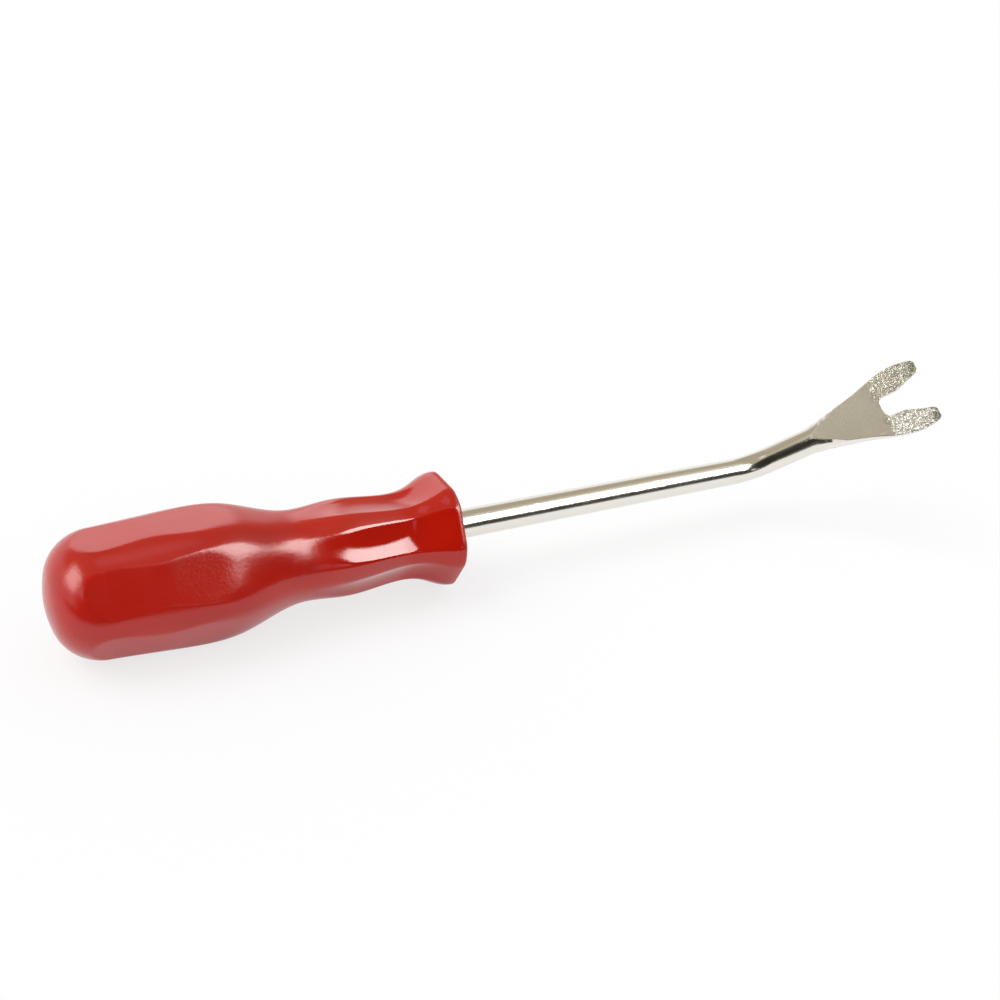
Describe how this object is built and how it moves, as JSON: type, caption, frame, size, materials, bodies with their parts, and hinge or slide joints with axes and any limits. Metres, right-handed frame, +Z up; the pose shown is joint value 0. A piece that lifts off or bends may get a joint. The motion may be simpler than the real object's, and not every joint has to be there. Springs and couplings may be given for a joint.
{
  "type": "door handle removal tool",
  "caption": "Screwdriver-style hand tool with a moulded handle and a round steel shank, bent near its end and forged into a flat two-pronged fork for pushing clips off handle stems.",
  "frame": {"origin": "middle of the flat pad under the handle's belly, which the tool lies on", "axes": "+X along the rod from the handle's butt towards the fork, +Z up, away from the pad"},
  "size_m": [0.2044, 0.0393, 0.0435],
  "materials": {
    "handle_plastic": "gloss",
    "shank_steel": "satin"
  },
  "bodies": {
    "root": {"handle": "handle_plastic", "shank": "shank_steel"}
  },
  "joints": []
}
